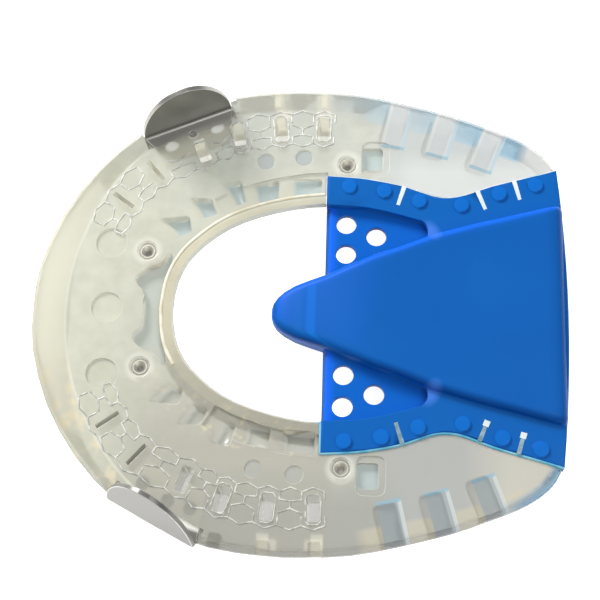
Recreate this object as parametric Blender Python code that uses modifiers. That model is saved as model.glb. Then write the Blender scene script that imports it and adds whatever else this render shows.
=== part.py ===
"""Moulded urethane horseshoe: clear body, blue frog plate, two steel side clips and four steel inserts."""

import math

import bmesh
import bpy
from mathutils import Matrix, Vector

MM = 0.001

# Whole shoe: the toe points to -X, the ground is z = 0 and the hoof rests on the plane at SHOE_THICKNESS
SHOE_LENGTH = 151 * MM
SHOE_WIDTH = 138 * MM
SHOE_THICKNESS = 12 * MM
REAR_BOW = 2.3 * MM
OUTLINE_STEPS = 2
CLEARANCE = 0.3 * MM
OVERRUN = 2 * MM

# Outer edge of one half from toe to heel, as shares of half the length and half the width
OUTER_EDGE_SHARES = (
    (-1.0, 0.0),
    (-0.988, 0.181),
    (-0.917, 0.413),
    (-0.795, 0.625),
    (-0.646, 0.787),
    (-0.477, 0.899),
    (-0.298, 0.968),
    (-0.099, 0.997),
    (0.04, 1.0),
    (0.212, 0.988),
    (0.384, 0.949),
    (0.57, 0.894),
    (0.689, 0.846),
    (0.801, 0.797),
    (0.887, 0.743),
    (0.943, 0.681),
    (0.97, 0.616),
)

# Opening inside the shoe, from its toe end to the rear, as shares of its length and half width
TOE_BREADTH = 40.1 * MM
OPENING_HALF_WIDTH = 32.1 * MM
OPENING_SHARES = (
    (0.0, 0.0),
    (0.009, 0.249),
    (0.035, 0.455),
    (0.078, 0.62),
    (0.137, 0.773),
    (0.211, 0.885),
    (0.301, 0.966),
    (0.387, 1.0),
    (0.491, 0.975),
    (0.581, 0.903),
    (0.662, 0.822),
    (0.77, 0.741),
    (0.878, 0.682),
    (1.0, 0.638),
)

# Section of the body: bevels to the ground, a land at the widest line and softened hoof-side edges
LAND_HEIGHT = 2.8 * MM
EDGE_SOFTENING = 1.2 * MM
RIM_SOFTENING = 0.7 * MM
TOE_BEVEL = 9.6 * MM
SIDE_BEVEL = 3 * MM
HEEL_BEVEL = 1 * MM
BEVEL_REACH = 44 * MM
OPENING_DRAFT = 5.4 * MM

# Nail slots inside the outer edge, from heel to toe, with a relief groove in the bevel
NAIL_STATION_SHARES = (0.618, 0.545, 0.4765, 0.4015, 0.3025, 0.221)
NAIL_LINE_INSET = 12.7 * MM
NAIL_SLOT_LENGTH = 7.4 * MM
NAIL_SLOT_WIDTH = 3.4 * MM
TOE_SLOT_WIDTH = 1.2 * MM
WIDE_SLOTS = 4
CLIP_SLOT_INDEX = 3
CLIP_SLOT_SETBACK = 1.7 * MM
RELIEF_DEPTH = 1.1 * MM

# Moulded marks in the hoof face
TOE_DIMPLE_RADIUS = 4.5 * MM
TOE_DIMPLE_DEPTH = 0.7 * MM
TOE_DIMPLE_INSET = 21.2 * MM
TOE_DIMPLE_SPACING = 19.6 * MM
SMALL_DIMPLE_RADIUS = 2.6 * MM
SMALL_DIMPLE_DEPTH = 0.5 * MM
SMALL_DIMPLE_SHARES = ((-0.144, 0.663), (0.003, 0.682))
KEY_POCKET_SHARES = (0.266, 0.681)
KEY_POCKET_LENGTH = 6.2 * MM
KEY_POCKET_WIDTH = 7.2 * MM
KEY_POCKET_DEPTH = 2.5 * MM
KEY_STEP = 1.9 * MM
KEY_STEP_DEPTH = 0.5 * MM
POCKET_CORNER = 1.2 * MM

# Pockets in the hoof face, as shares of half the length and half the width: a row of five down
# each branch, whose toe-side walls are ramps, and one across the toe that passes round both inserts
POCKET_DEPTH = 3 * MM
POCKET_DRAFT = 0.5 * MM
POCKET_INNER_DRAFT = 1.3 * MM
POCKET_RAMP = 2.3 * MM
POCKET_FLOOR_CORNER = 0.5 * MM
ROW_POCKET_SHARES = (
    ((-0.548, 0.397), (-0.426, 0.409), (-0.411, 0.336), (-0.478, 0.309)),
    ((-0.438, 0.49), (-0.346, 0.491), (-0.315, 0.42), (-0.387, 0.391)),
    ((-0.316, 0.557), (-0.233, 0.577), (-0.208, 0.475), (-0.262, 0.452)),
    ((-0.201, 0.558), (-0.087, 0.583), (-0.085, 0.487), (-0.186, 0.471)),
    ((-0.058, 0.588), (0.078, 0.594), (0.079, 0.507), (-0.052, 0.501)),
)
TOE_POCKET_SHARES = (
    (-0.584, 0.0),
    (-0.585, 0.058),
    (-0.592, 0.081),
    (-0.613, 0.104),
    (-0.62, 0.128),
    (-0.613, 0.146),
    (-0.592, 0.164),
    (-0.568, 0.18),
    (-0.536, 0.19),
    (-0.515, 0.213),
    (-0.506, 0.241),
    (-0.489, 0.245),
    (-0.481, 0.225),
    (-0.487, 0.181),
    (-0.502, 0.123),
    (-0.515, 0.058),
    (-0.518, 0.0),
)

# Shallow trough from the plate along the row of pockets, as shares of the opening edge's length
TROUGH_INSET = 3.8 * MM
TROUGH_WIDTH = 6.6 * MM
TROUGH_DEPTH = 0.8 * MM
TROUGH_START_SHARE = 0.3
TROUGH_END_SHARE = 0.55

# Traction grooves across the heels, cut from the ground and open at the outer edge
HEEL_GROOVE_SHARES = (0.366, 0.538, 0.719)
HEEL_GROOVE_WIDTH = 6.4 * MM
HEEL_GROOVE_DEPTH = 5 * MM
HEEL_GROOVE_LENGTH = 12.4 * MM

# Frog plate: a flange seated in the body's heel branches, thin webs with holes and a raised wedge
PLATE_FRONT_SHARE = 0.095
PLATE_PROUD = 0.8 * MM
PLATE_SINK = 4.2 * MM
PLATE_EDGE_SOFTENING = 0.5 * MM
REAR_STEPS = 6
FLANGE_HALF_WIDTH = 43.8 * MM
FLANGE_SHARES = (
    (0.0, 0.941),
    (0.139, 0.927),
    (0.239, 0.904),
    (0.344, 0.868),
    (0.464, 0.804),
    (0.535, 0.795),
    (0.603, 0.815),
    (0.717, 0.879),
    (0.835, 0.929),
    (0.929, 0.968),
    (1.0, 1.0),
)
WEB_FLOOR_DROP = 2.4 * MM
WEB_END_SHARE = 0.484
WEB_END_RADIUS = 3 * MM
WEB_END_STEPS = 8
WEB_FRONT_CHAMFER = 1.2 * MM
WEB_HOLE_RADIUS = 2.9 * MM
WEB_HOLE_SHARES = ((0.197, 0.847), (0.199, 0.562), (0.492, 0.734))

# Wedge stations from tip to rear: share of its length, of its half width and of its rise
WEDGE_TIP_SHARE = 0.102
WEDGE_HALF_WIDTH = 32.5 * MM
WEDGE_RISE = 4 * MM
WEDGE_CORNER = 2.4 * MM
WEDGE_CORNER_STEPS = 3
NOSE_DROP = 5.6 * MM
WEDGE_SHARES = (
    (0.0, 0.037, -0.75),
    (0.006, 0.089, -0.48),
    (0.02, 0.141, -0.22),
    (0.044, 0.191, -0.02),
    (0.081, 0.243, 0.15),
    (0.129, 0.287, 0.33),
    (0.183, 0.332, 0.5),
    (0.261, 0.418, 0.75),
    (0.345, 0.508, 0.95),
    (0.429, 0.582, 1.0),
    (0.549, 0.705, 1.0),
    (0.693, 0.81, 1.0),
    (0.838, 0.901, 1.0),
    (0.934, 0.963, 1.0),
    (0.974, 0.988, 0.9),
    (0.991, 0.997, 0.6),
    (1.0, 1.0, 0.25),
)

# Keel under the wedge, between the branches, with pockets that leave cross ribs
KEEL_DROP = 3.6 * MM
KEEL_SIDE = 1.2 * MM
KEEL_GAP = 1.5 * MM
KEEL_START = 3 * MM
KEEL_POCKETS = 3
KEEL_RIB = 3 * MM
KEEL_POCKET_HALF_WIDTH = 14 * MM
KEEL_POCKET_START_SHARE = 0.5
KEEL_POCKET_END_SHARE = 0.89

# Round studs along the flange, and tapering slits between some of them
STUD_RADIUS = 2.5 * MM
STUD_CROWN_RADIUS = 2.1 * MM
STUD_HEIGHT = 0.7 * MM
STUD_INSET = 3 * MM
STUD_COUNT = 6
STUD_FIRST_SHARE = 0.1
STUD_PITCH_SHARE = 0.1585
SLIT_AFTER_STUDS = (2, 4, 5)
SLIT_LENGTH = 6.3 * MM
SLIT_MOUTH = 1.4 * MM
SLIT_END = 0.6 * MM

# Side clips: bent sheet, the tab outside the body and the base plate under its hoof face. The places
# along and inside the outer edge are for the right (1) and left (-1) clip, which aren't bent alike
CLIP_STATION_SHARES = {1: 0.397, -1: 0.385}
CLIP_FOLD_INSETS = {1: 4.1 * MM, -1: 1 * MM}
CLIP_SHEET = 1.3 * MM
CLIP_WIDTH = 27 * MM
CLIP_HEIGHT = 23 * MM
CLIP_LEAN = 2.7 * MM
CLIP_BEND_RADIUS = 0.8 * MM
CLIP_END_INSET = 14.2 * MM
CLIP_BASE_END_WIDTH = 18 * MM
CLIP_COVER = 1 * MM
CLIP_WINDOW = 4.3 * MM
CLIP_FLAT = 1.5 * MM
CLIP_TAB_STEPS = 12
CLIP_BASE_STEPS = 4
CLIP_COLUMNS = 8
CLIP_ANCHOR_LONG = 4.1 * MM
CLIP_ANCHOR_SHORT = 2.9 * MM
CLIP_ANCHOR_SPACING = 14.4 * MM
CLIP_ANCHOR_INSET = 9.4 * MM
CLIP_PIN_RADIUS = 1.1 * MM
CLIP_PIN_INSET = 8 * MM

# Tubular inserts: a countersunk flange over a tube, in a stepped bore that opens into a dish
TOE_INSERT_SHARES = (-0.58, 0.251)
QUARTER_INSERT_SHARE = 0.1715
INSERT_PLATE_GAP = 4.2 * MM
INSERT_FLANGE_RADIUS = 2.2 * MM
INSERT_TUBE_RADIUS = 1.8 * MM
INSERT_MOUTH_RADIUS = 1.8 * MM
INSERT_BORE_RADIUS = 0.9 * MM
INSERT_DISH = 0.6 * MM
INSERT_FLANGE_HEIGHT = 0.8 * MM
INSERT_CONE_DEPTH = 1.8 * MM
INSERT_FOOT = 1.5 * MM

ROUND_SIDES = 20
CORNER_STEPS = 3

HALF_LENGTH = SHOE_LENGTH / 2
HALF_WIDTH = SHOE_WIDTH / 2
HOOF_PLANE = SHOE_THICKNESS
OPENING_FRONT = TOE_BREADTH - HALF_LENGTH
PLATE_FRONT = PLATE_FRONT_SHARE * HALF_LENGTH
PLATE_TOP = HOOF_PLANE + PLATE_PROUD
PLATE_BOTTOM = HOOF_PLANE - PLATE_SINK
WEB_FLOOR = HOOF_PLANE - WEB_FLOOR_DROP
WEDGE_TIP = -WEDGE_TIP_SHARE * HALF_LENGTH
SIDES = {"right": 1, "left": -1}


# Outlines


def smooth_line(points, before=None, after=None):
    """Points along a smooth curve through the given ones, OUTLINE_STEPS for each span."""
    first = before or tuple(2 * a - b for a, b in zip(points[0], points[1]))
    last = after or tuple(2 * a - b for a, b in zip(points[-1], points[-2]))
    knots = [Vector(point) for point in (first, *points, last)]
    line = []
    for a, b, c, d in zip(knots, knots[1:], knots[2:], knots[3:]):
        for step in range(OUTLINE_STEPS):
            t = step / OUTLINE_STEPS
            cubic = 2 * b + t * (c - a) + t**2 * (2 * a - 5 * b + 4 * c - d)
            line.append((cubic + t**3 * (3 * b - a - 3 * c + d)) / 2)
    return [*line, knots[-2]]


def placed(shares, origin, spans):
    """Share pairs turned into plan positions from an origin and two spans."""
    return [tuple(o + s * span for o, s, span in zip(origin, pair, spans)) for pair in shares]


def rear_edge(y):
    """Plan x of the bowed rear end at a distance y from the middle."""
    return HALF_LENGTH - REAR_BOW * (y / FLANGE_HALF_WIDTH) ** 2


def outer_edge():
    """Outer edge of the half with positive y, from the toe to the heel corner."""
    points = placed(OUTER_EDGE_SHARES, (0, 0), (HALF_LENGTH, HALF_WIDTH))
    mirrored = (points[1][0], -points[1][1])
    return smooth_line(points, before=mirrored)


def opening_edge():
    """Edge of the opening of the same half, from the toe end to the rear."""
    spans = (HALF_LENGTH - OPENING_FRONT, OPENING_HALF_WIDTH)
    points = placed(OPENING_SHARES, (OPENING_FRONT, 0), spans)
    mirrored = (points[1][0], -points[1][1])
    line = smooth_line(points, before=mirrored)
    line[-1] = Vector((rear_edge(line[-1].y), line[-1].y))
    return line


def flange_edge():
    """Outer edge of the plate's flange, from its front corner to the rear."""
    spans = (rear_edge(FLANGE_HALF_WIDTH) - PLATE_FRONT, FLANGE_HALF_WIDTH)
    return smooth_line(placed(FLANGE_SHARES, (PLATE_FRONT, 0), spans))


def at_share(line, share):
    """The point at a share of a line's length, its direction, and the direction to its right."""
    pieces = [(b - a).length for a, b in zip(line, line[1:])]
    left = share * sum(pieces)
    for a, b, length in zip(line, line[1:], pieces):
        if left <= length:
            break
        left -= length
    along = (b - a).normalized()
    return a + along * left, along, Vector((along.y, -along.x))


def height_on(line, x):
    """The y of a line at a plan x."""
    for a, b in zip(line, line[1:]):
        if a.x <= x <= b.x:
            return a.y + (b.y - a.y) * (x - a.x) / (b.x - a.x)
    return line[-1].y


def inset_line(line, distances, closed=False):
    """A line moved to its right, each edge by its own distance, with mitred corners."""
    edges = list(zip(line, [*line[1:], line[0]]))
    if not closed:
        edges.pop()
    normals = [Vector(((b - a).y, -(b - a).x)).normalized() for a, b in edges]
    moved = []
    for index, point in enumerate(line):
        before = (index - 1) % len(normals) if closed else max(index - 1, 0)
        after = index if closed else min(index, len(normals) - 1)
        one, two = normals[before], normals[after]
        near, far = distances[before], distances[after]
        turn = one.x * two.y - one.y * two.x
        if abs(turn) < math.sin(math.radians(25)):
            shift = (one + two).normalized() * (near + far) / 2
        else:
            shift = Vector(((near * two.y - far * one.y) / turn, (far * one.x - near * two.x) / turn))
        moved.append(point + shift)
    return moved


def mirrored_loop(half):
    """A half outline from the middle line to the middle line, joined to its mirror image."""
    other = [Vector((point.x, -point.y)) for point in reversed(half[1:-1])]
    return [*half, *other]


# Meshes


def add_object(name, shape, group):
    """A bmesh as a named object in a collection, its faces turned outwards."""
    bmesh.ops.recalc_face_normals(shape, faces=shape.faces)
    mesh = bpy.data.meshes.new(name)
    shape.to_mesh(mesh)
    shape.free()
    made = bpy.data.objects.new(name, mesh)
    group.objects.link(made)
    return made


def loft(name, loops, group):
    """A closed solid through loops of equally many points, with its two ends capped."""
    shape = bmesh.new()
    rings = [[shape.verts.new(point) for point in loop] for loop in loops]
    for low, high in zip(rings, rings[1:]):
        for index, corner in enumerate(low):
            after = (index + 1) % len(low)
            shape.faces.new((corner, low[after], high[after], high[index]))
    ends = [shape.faces.new(rings[0]), shape.faces.new(rings[-1])]
    bmesh.ops.triangulate(shape, faces=ends)
    return add_object(name, shape, group)


def prism(name, outline, low, high, group):
    """A flat outline extruded between two heights."""
    shape = bmesh.new()
    face = shape.faces.new([shape.verts.new((x, y, low)) for x, y in outline])
    raised = bmesh.ops.extrude_face_region(shape, geom=[face])["geom"]
    corners = [item for item in raised if isinstance(item, bmesh.types.BMVert)]
    bmesh.ops.translate(shape, vec=(0, 0, high - low), verts=corners)
    return add_object(name, shape, group)


def cylinder(name, radius, centre, low, high, group, top_radius=None):
    """A round solid, or a cone, between two heights."""
    shape = bmesh.new()
    place = Matrix.Translation((centre[0], centre[1], (low + high) / 2))
    bmesh.ops.create_cone(
        shape,
        cap_ends=True,
        segments=ROUND_SIDES,
        radius1=radius,
        radius2=top_radius or radius,
        depth=high - low,
        matrix=place,
    )
    return add_object(name, shape, group)


def round_corners(corners, radius):
    """A closed outline whose corners are short curves, each of which starts a radius away."""
    outline = []
    for before, corner, after in zip([corners[-1], *corners], corners, [*corners[1:], corners[0]]):
        start = corner + (before - corner).normalized() * radius
        end = corner + (after - corner).normalized() * radius
        for step in range(CORNER_STEPS + 1):
            t = step / CORNER_STEPS
            outline.append((1 - t) ** 2 * start + 2 * t * (1 - t) * corner + t**2 * end)
    return outline


def rounded_box(length, width, corner):
    """Plan outline of a rounded rectangle about the origin, clockwise."""
    signs = ((-1, 1), (1, 1), (1, -1), (-1, -1))
    return round_corners([Vector((x * length / 2, y * width / 2)) for x, y in signs], corner)


def turned_to(outline, centre, direction):
    """An outline about the origin moved to a centre, its x axis along a direction."""
    across = Vector((-direction.y, direction.x))
    return [centre + direction * x + across * y for x, y in outline]


def oval(length, width):
    """Plan outline of an oval about the origin."""
    angles = [2 * math.pi * side / ROUND_SIDES for side in range(ROUND_SIDES)]
    return [(length / 2 * math.cos(angle), width / 2 * math.sin(angle)) for angle in angles]


def moved(outline, centre):
    return [(x + centre[0], y + centre[1]) for x, y in outline]


def flipped(outline, side):
    return [(x, side * y) for x, y in outline]


def combine(target, operation, others, name):
    """Joins or cuts a target with every object of a collection."""
    change = target.modifiers.new(name, "BOOLEAN")
    change.operation = operation
    change.solver = "EXACT"
    change.operand_type = "COLLECTION"
    change.collection = others
    return change


def cutter_group(name):
    group = bpy.data.collections.new(name)
    CUTTERS.children.link(group)
    return group


def finish(made, colour, roughness, metallic=0, transmission=0):
    """Gives an object its own plain material and smooth shading with crisp corners."""
    material = bpy.data.materials.new(made.name)
    material.use_nodes = True
    shader = material.node_tree.nodes["Principled BSDF"]
    shader.inputs["Base Color"].default_value = (*colour, 1)
    shader.inputs["Roughness"].default_value = roughness
    shader.inputs["Metallic"].default_value = metallic
    shader.inputs["Transmission Weight"].default_value = transmission
    material.diffuse_color = (*colour, 1)
    made.data.materials.append(material)
    made.data.shade_smooth()
    made.data.set_sharp_from_angle(angle=math.radians(35))


# Clear body


def bevel_at(y):
    """Width of the ground bevel: wide across the toe and narrow along the sides."""
    reach = min(1, abs(y) / BEVEL_REACH)
    return SIDE_BEVEL + (TOE_BEVEL - SIDE_BEVEL) * math.cos(math.pi / 2 * reach)


def body_level(height, bevel_share, softening, draft, heel):
    """One closed outline of the body, drawn in from its widest edges."""
    outer, opening = outer_edge(), opening_edge()
    half = [*outer, *reversed(opening)]
    distances = []
    for index, (a, b) in enumerate(zip(half, half[1:])):
        if index < len(outer) - 1:
            toe_side = (a + b) / 2
            bevel = bevel_at(toe_side.y) if toe_side.x < 0 else SIDE_BEVEL
            distances.append(bevel_share * bevel + softening)
        elif index < len(outer):
            distances.append(heel)
        else:
            distances.append(draft)
    line = inset_line(half, distances)
    line[0].y = line[-1].y = 0
    return [(x, y, height) for x, y in mirrored_loop(line)]


def body_blank(group):
    land_low = HOOF_PLANE - EDGE_SOFTENING - LAND_HEIGHT
    rim = HOOF_PLANE - EDGE_SOFTENING
    low_share = land_low / rim
    levels = (
        body_level(0, 1, 0, OPENING_DRAFT, HEEL_BEVEL),
        body_level(land_low, 0, 0, OPENING_DRAFT * (1 - low_share), 0),
        body_level(rim, 0, 0, 0, 0),
        body_level(HOOF_PLANE, 0, EDGE_SOFTENING, RIM_SOFTENING, 0),
    )
    return loft("shoe_body", levels, group)


def nail_place(index):
    """Centre of a nail slot and the direction from the outer edge inwards."""
    point, _, inward = at_share(outer_edge(), NAIL_STATION_SHARES[index])
    setback = CLIP_SLOT_SETBACK if index == CLIP_SLOT_INDEX else 0
    return point + inward * (NAIL_LINE_INSET + setback), inward


def nail_outline(index, extra=0):
    centre, inward = nail_place(index)
    width = NAIL_SLOT_WIDTH if index < WIDE_SLOTS else TOE_SLOT_WIDTH
    corner = min(POCKET_CORNER, width / 2) / 2
    box = rounded_box(NAIL_SLOT_LENGTH + 2 * extra, width + 2 * extra, corner)
    return turned_to(box, centre, inward)


def cut_nail_slots(group):
    land_low = HOOF_PLANE - EDGE_SOFTENING - LAND_HEIGHT
    for label, side in SIDES.items():
        for index, share in enumerate(NAIL_STATION_SHARES):
            slot = flipped(nail_outline(index), side)
            prism(f"nail_slot_{label}_{index}", slot, -OVERRUN, HOOF_PLANE + OVERRUN, group)
            if index >= WIDE_SLOTS - 1:
                continue
            edge, _, inward = at_share(outer_edge(), share)
            reach = SIDE_BEVEL + RELIEF_DEPTH
            box = rounded_box(2 * reach, NAIL_SLOT_WIDTH, POCKET_CORNER / 2)
            groove = flipped(turned_to(box, edge, inward), side)
            prism(f"nail_relief_{label}_{index}", groove, -OVERRUN, land_low - CLEARANCE, group)


def cut_hoof_marks(group):
    top = HOOF_PLANE + OVERRUN
    toe_x = TOE_DIMPLE_INSET - HALF_LENGTH
    for step in (-1, 0, 1):
        centre = (toe_x, step * TOE_DIMPLE_SPACING)
        low = HOOF_PLANE - TOE_DIMPLE_DEPTH
        cylinder(f"toe_dimple_{step + 1}", TOE_DIMPLE_RADIUS, centre, low, top, group)
    for label, side in SIDES.items():
        for index, (x_share, y_share) in enumerate(SMALL_DIMPLE_SHARES):
            centre = (x_share * HALF_LENGTH, side * y_share * HALF_WIDTH)
            low = HOOF_PLANE - SMALL_DIMPLE_DEPTH
            cylinder(f"small_dimple_{label}_{index}", SMALL_DIMPLE_RADIUS, centre, low, top, group)
        centre = Vector((KEY_POCKET_SHARES[0] * HALF_LENGTH, KEY_POCKET_SHARES[1] * HALF_WIDTH))
        box = rounded_box(KEY_POCKET_LENGTH, KEY_POCKET_WIDTH, POCKET_CORNER)
        pocket = flipped(moved(box, centre), side)
        prism(f"key_pocket_{label}", pocket, HOOF_PLANE - KEY_POCKET_DEPTH, top, group)
        length = KEY_POCKET_LENGTH + KEY_STEP
        width = KEY_POCKET_WIDTH + 2 * KEY_STEP
        step_box = rounded_box(length, width, 2 * POCKET_CORNER)
        step_centre = centre + Vector((KEY_STEP / 2, 0))
        step = flipped(moved(step_box, step_centre), side)
        prism(f"key_step_{label}", step, HOOF_PLANE - KEY_STEP_DEPTH, top, group)


def pocket(name, opening, insets, side, group):
    """A pocket in the hoof face, its floor drawn in from its opening by a distance for each side."""
    top = HOOF_PLANE + OVERRUN
    floor = inset_line(opening, insets, closed=True)
    if len(opening) == len(ROW_POCKET_SHARES[0]):
        floor = round_corners(floor, POCKET_FLOOR_CORNER)
        opening = round_corners(opening, POCKET_CORNER)
    outlines = [(floor, HOOF_PLANE - POCKET_DEPTH), (opening, HOOF_PLANE), (opening, top)]
    loft(name, [[(x, side * y, z) for x, y in outline] for outline, z in outlines], group)


def cut_pockets(group):
    spans = (HALF_LENGTH, HALF_WIDTH)
    insets = (POCKET_DRAFT, POCKET_DRAFT, POCKET_INNER_DRAFT, POCKET_RAMP)
    for label, side in SIDES.items():
        for index, shares in enumerate(ROW_POCKET_SHARES):
            opening = [Vector(point) for point in placed(shares, (0, 0), spans)]
            pocket(f"row_pocket_{label}_{index}", opening, insets, side, group)
        edge = opening_edge()
        first, last = (round(share * len(edge)) for share in (TROUGH_START_SHARE, TROUGH_END_SHARE))
        inner = inset_line(edge, [-TROUGH_INSET] * (len(edge) - 1))[first:last]
        outer = inset_line(edge, [-TROUGH_INSET - TROUGH_WIDTH] * (len(edge) - 1))[first:last]
        trough = flipped([*outer, *reversed(inner)], side)
        low, high = HOOF_PLANE - TROUGH_DEPTH, HOOF_PLANE + 2 * OVERRUN
        prism(f"trough_{label}", trough, low, high, group)
    opening = [Vector(point) for point in placed(TOE_POCKET_SHARES, (0, 0), spans)]
    opening = mirrored_loop(opening)
    pocket("toe_pocket", opening, [POCKET_DRAFT] * len(opening), 1, group)


def cut_heel_grooves(group):
    outer = outer_edge()
    for label, side in SIDES.items():
        for index, share in enumerate(HEEL_GROOVE_SHARES):
            x = share * HALF_LENGTH
            ahead, behind = x + HEEL_GROOVE_WIDTH / 2, x - HEEL_GROOVE_WIDTH / 2
            along = Vector((ahead, height_on(outer, ahead))) - Vector((behind, height_on(outer, behind)))
            along.normalize()
            inward = Vector((along.y, -along.x))
            length = HEEL_GROOVE_LENGTH + 2 * OVERRUN
            centre = Vector((x, height_on(outer, x))) + inward * (HEEL_GROOVE_LENGTH - length / 2)
            box = rounded_box(length, HEEL_GROOVE_WIDTH, POCKET_CORNER)
            groove = flipped(turned_to(box, centre, inward), side)
            prism(f"heel_groove_{label}_{index}", groove, -OVERRUN, HEEL_GROOVE_DEPTH, group)


def make_body():
    body = body_blank(PARTS)
    cuts = cutter_group("shoe_body_cuts")
    past_rear = [Vector((HALF_LENGTH + OVERRUN, y)) for y in (flange_edge()[-1].y, 0)]
    outline = plate_loop(past_rear)
    outline = inset_line(outline, [-CLEARANCE] * len(outline), closed=True)
    prism("plate_seat", outline, PLATE_BOTTOM - CLEARANCE, PLATE_TOP + OVERRUN, cuts)
    cut_nail_slots(cuts)
    cut_hoof_marks(cuts)
    cut_pockets(cuts)
    cut_heel_grooves(cuts)
    cut_clip_seats(cuts)
    cut_insert_bores(cuts)
    combine(body, "DIFFERENCE", cuts, "seats_and_slots")
    finish(body, (0.72, 0.74, 0.7), 0.15, transmission=0.85)
    return body


# Blue frog plate


def plate_loop(rear):
    """Closed plan outline of the plate without its wedge tip, through the given rear points."""
    return mirrored_loop([Vector((PLATE_FRONT, 0)), *flange_edge(), *rear])


def wedge_stations():
    """Plan x, half width and top height of the wedge at each station."""
    length = HALF_LENGTH - WEDGE_TIP
    for along, wide, rise in WEDGE_SHARES:
        yield WEDGE_TIP + along * length, wide * WEDGE_HALF_WIDTH, HOOF_PLANE + rise * WEDGE_RISE


def bowed(x, y):
    """Plan x with the bow of the rear end, which fades towards the plate's front."""
    share = max(0, (x - PLATE_FRONT) / (HALF_LENGTH - PLATE_FRONT))
    return x - share**2 * (HALF_LENGTH - rear_edge(y))


def section(x, half_width, low, high, corner):
    """Cross section with softened upper corners, the whole of it at one station."""
    half = [(half_width, low)]
    for step in range(WEDGE_CORNER_STEPS + 1):
        angle = math.pi / 2 * step / WEDGE_CORNER_STEPS
        y = half_width - corner * (1 - math.cos(angle))
        half.append((y, high - corner * (1 - math.sin(angle))))
    points = [*half, *[(-y, z) for y, z in reversed(half)]]
    return [(bowed(x, y), y, z) for y, z in points]


def wedge(group):
    loops = []
    web_end = WEB_END_SHARE * HALF_LENGTH
    for x, half_width, top in wedge_stations():
        low = HOOF_PLANE - NOSE_DROP if x < web_end else PLATE_BOTTOM + CLEARANCE
        corner = min(WEDGE_CORNER, half_width / 2, (top - low) / 2)
        loops.append(section(x, half_width, low, top, corner))
    return loft("wedge", loops, group)


def keel(group):
    opening = opening_edge()
    low = PLATE_BOTTOM - KEEL_DROP
    loops = []
    for x, half_width, _ in wedge_stations():
        if x < WEDGE_TIP + KEEL_START or x > HALF_LENGTH - KEEL_START:
            continue
        between = height_on(opening[len(opening) // 4 :], x) - KEEL_GAP if x > 0 else half_width
        width = min(half_width - KEEL_SIDE, between)
        high = PLATE_BOTTOM + 2 * CLEARANCE
        foot = width - KEEL_SIDE
        points = [(width, high), (width, low + KEEL_SIDE), (foot, low)]
        points = [*points, *[(-y, z) for y, z in reversed(points)]]
        loops.append([(bowed(x, y), y, z) for y, z in points])
    return loft("keel", loops, group)


def web_pocket(side):
    """Plan outline of a web pocket: the opening's edge, a round end and a line inside the wedge."""
    web_end = WEB_END_SHARE * HALF_LENGTH
    stations = [(x, half_width) for x, half_width, _ in wedge_stations()]
    opening = [p for p in opening_edge() if PLATE_FRONT < p.x < web_end - WEB_END_RADIUS]
    front = PLATE_FRONT - OVERRUN
    points = [(front, height_on(opening_edge()[2:], PLATE_FRONT)), *opening]
    flank = [(x, y) for x, y in stations if PLATE_FRONT < x < web_end - WEB_END_RADIUS]
    last = opening[-1]
    inner = Vector((web_end - WEB_END_RADIUS, flank[-1][1] + WEB_END_RADIUS / 2))
    middle = (last + inner) / 2
    reach = (last - inner).length / 2
    for step in range(1, WEB_END_STEPS):
        angle = math.pi * (1 / 2 - step / WEB_END_STEPS)
        x = middle.x + WEB_END_RADIUS * math.cos(angle)
        y = middle.y + reach * math.sin(angle)
        points.append((x, y))
    points.extend((x, y - WEDGE_CORNER / 2) for x, y in reversed(flank))
    points.append((front, flank[0][1] - WEDGE_CORNER))
    return flipped(points, side)


def flange_place(share):
    """A point on the flange's outer edge at a share of its plan length, and the way inwards."""
    flange = flange_edge()
    x = PLATE_FRONT + share * (flange[-1].x - PLATE_FRONT)
    ahead = Vector((x + STUD_INSET, height_on(flange, x + STUD_INSET)))
    behind = Vector((x - STUD_INSET, height_on(flange, x - STUD_INSET)))
    along = (ahead - behind).normalized()
    return Vector((x, height_on(flange, x))), Vector((along.y, -along.x))


def add_studs(group):
    for label, side in SIDES.items():
        for index in range(STUD_COUNT):
            edge, inward = flange_place(STUD_FIRST_SHARE + index * STUD_PITCH_SHARE)
            x, y = edge + inward * STUD_INSET
            low, high = PLATE_TOP - PLATE_PROUD, PLATE_TOP + STUD_HEIGHT
            name = f"stud_{label}_{index}"
            cylinder(name, STUD_RADIUS, (x, side * y), low, high, group, STUD_CROWN_RADIUS)


def cut_plate_holes(group):
    web_length = WEB_END_SHARE * HALF_LENGTH - PLATE_FRONT
    low, high = PLATE_BOTTOM - OVERRUN, PLATE_TOP + WEDGE_RISE
    for label, side in SIDES.items():
        for index, (x_share, y_share) in enumerate(WEB_HOLE_SHARES):
            centre = (PLATE_FRONT + x_share * web_length, side * y_share * OPENING_HALF_WIDTH)
            cylinder(f"web_hole_{label}_{index}", WEB_HOLE_RADIUS, centre, low, high, group)
        for index, after in enumerate(SLIT_AFTER_STUDS):
            share = STUD_FIRST_SHARE + (after - 1 / 2) * STUD_PITCH_SHARE
            edge, inward = flange_place(share)
            across = Vector((-inward.y, inward.x))
            mouth, end = edge - inward * OVERRUN, edge + inward * SLIT_LENGTH
            corners = [
                mouth - across * SLIT_MOUTH / 2,
                mouth + across * SLIT_MOUTH / 2,
                end + across * SLIT_END / 2,
                end - across * SLIT_END / 2,
            ]
            prism(f"slit_{label}_{index}", flipped(corners, side), low, high, group)
    start = KEEL_POCKET_START_SHARE * HALF_LENGTH
    end = KEEL_POCKET_END_SHARE * HALF_LENGTH
    length = (end - start + KEEL_RIB) / KEEL_POCKETS - KEEL_RIB
    for index in range(KEEL_POCKETS):
        x = start + index * (length + KEEL_RIB) + length / 2
        box = rounded_box(length, 2 * KEEL_POCKET_HALF_WIDTH, POCKET_CORNER)
        prism(f"keel_pocket_{index}", moved(box, (x, 0)), -OVERRUN, PLATE_BOTTOM, group)


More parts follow.
